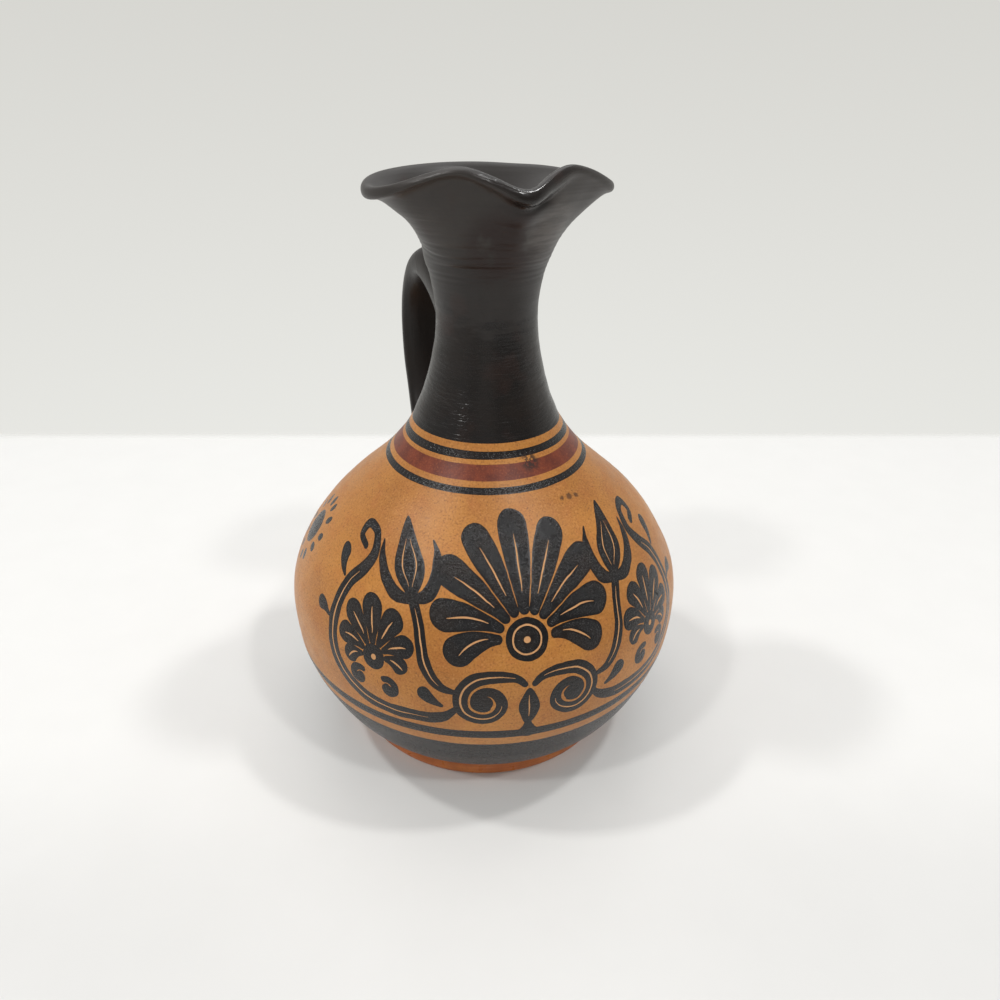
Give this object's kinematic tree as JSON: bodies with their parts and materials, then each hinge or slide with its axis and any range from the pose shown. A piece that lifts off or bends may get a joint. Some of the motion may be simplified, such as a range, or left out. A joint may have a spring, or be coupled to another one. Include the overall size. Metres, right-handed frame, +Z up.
{
  "type": "pottery vase",
  "caption": "Wheel-thrown pottery jug vase with a round hollow bulb, slim neck, pinched three-lobed pouring mouth, strap handle and turned foot ring.",
  "frame": {"origin": "on the wheel axis at the resting face of the foot ring, the centre of the whole part's footprint", "axes": "+Z up along the wheel axis, -Y towards the pouring lobe of the mouth, +Y towards the strap handle"},
  "size_m": [0.1074, 0.1074, 0.1499],
  "materials": {
    "clay": "burnished orange-brown fired clay, satin, with painted black and maroon bands",
    "black_slip": "fired black slip, satin, brushed on the turning wheel",
    "foot_glaze": "glossy orange-brown wash"
  },
  "bodies": {
    "root": {"foot": "foot_glaze", "body": "clay", "neck": "black_slip", "mouth": "black_slip", "handle": "black_slip"}
  },
  "joints": []
}
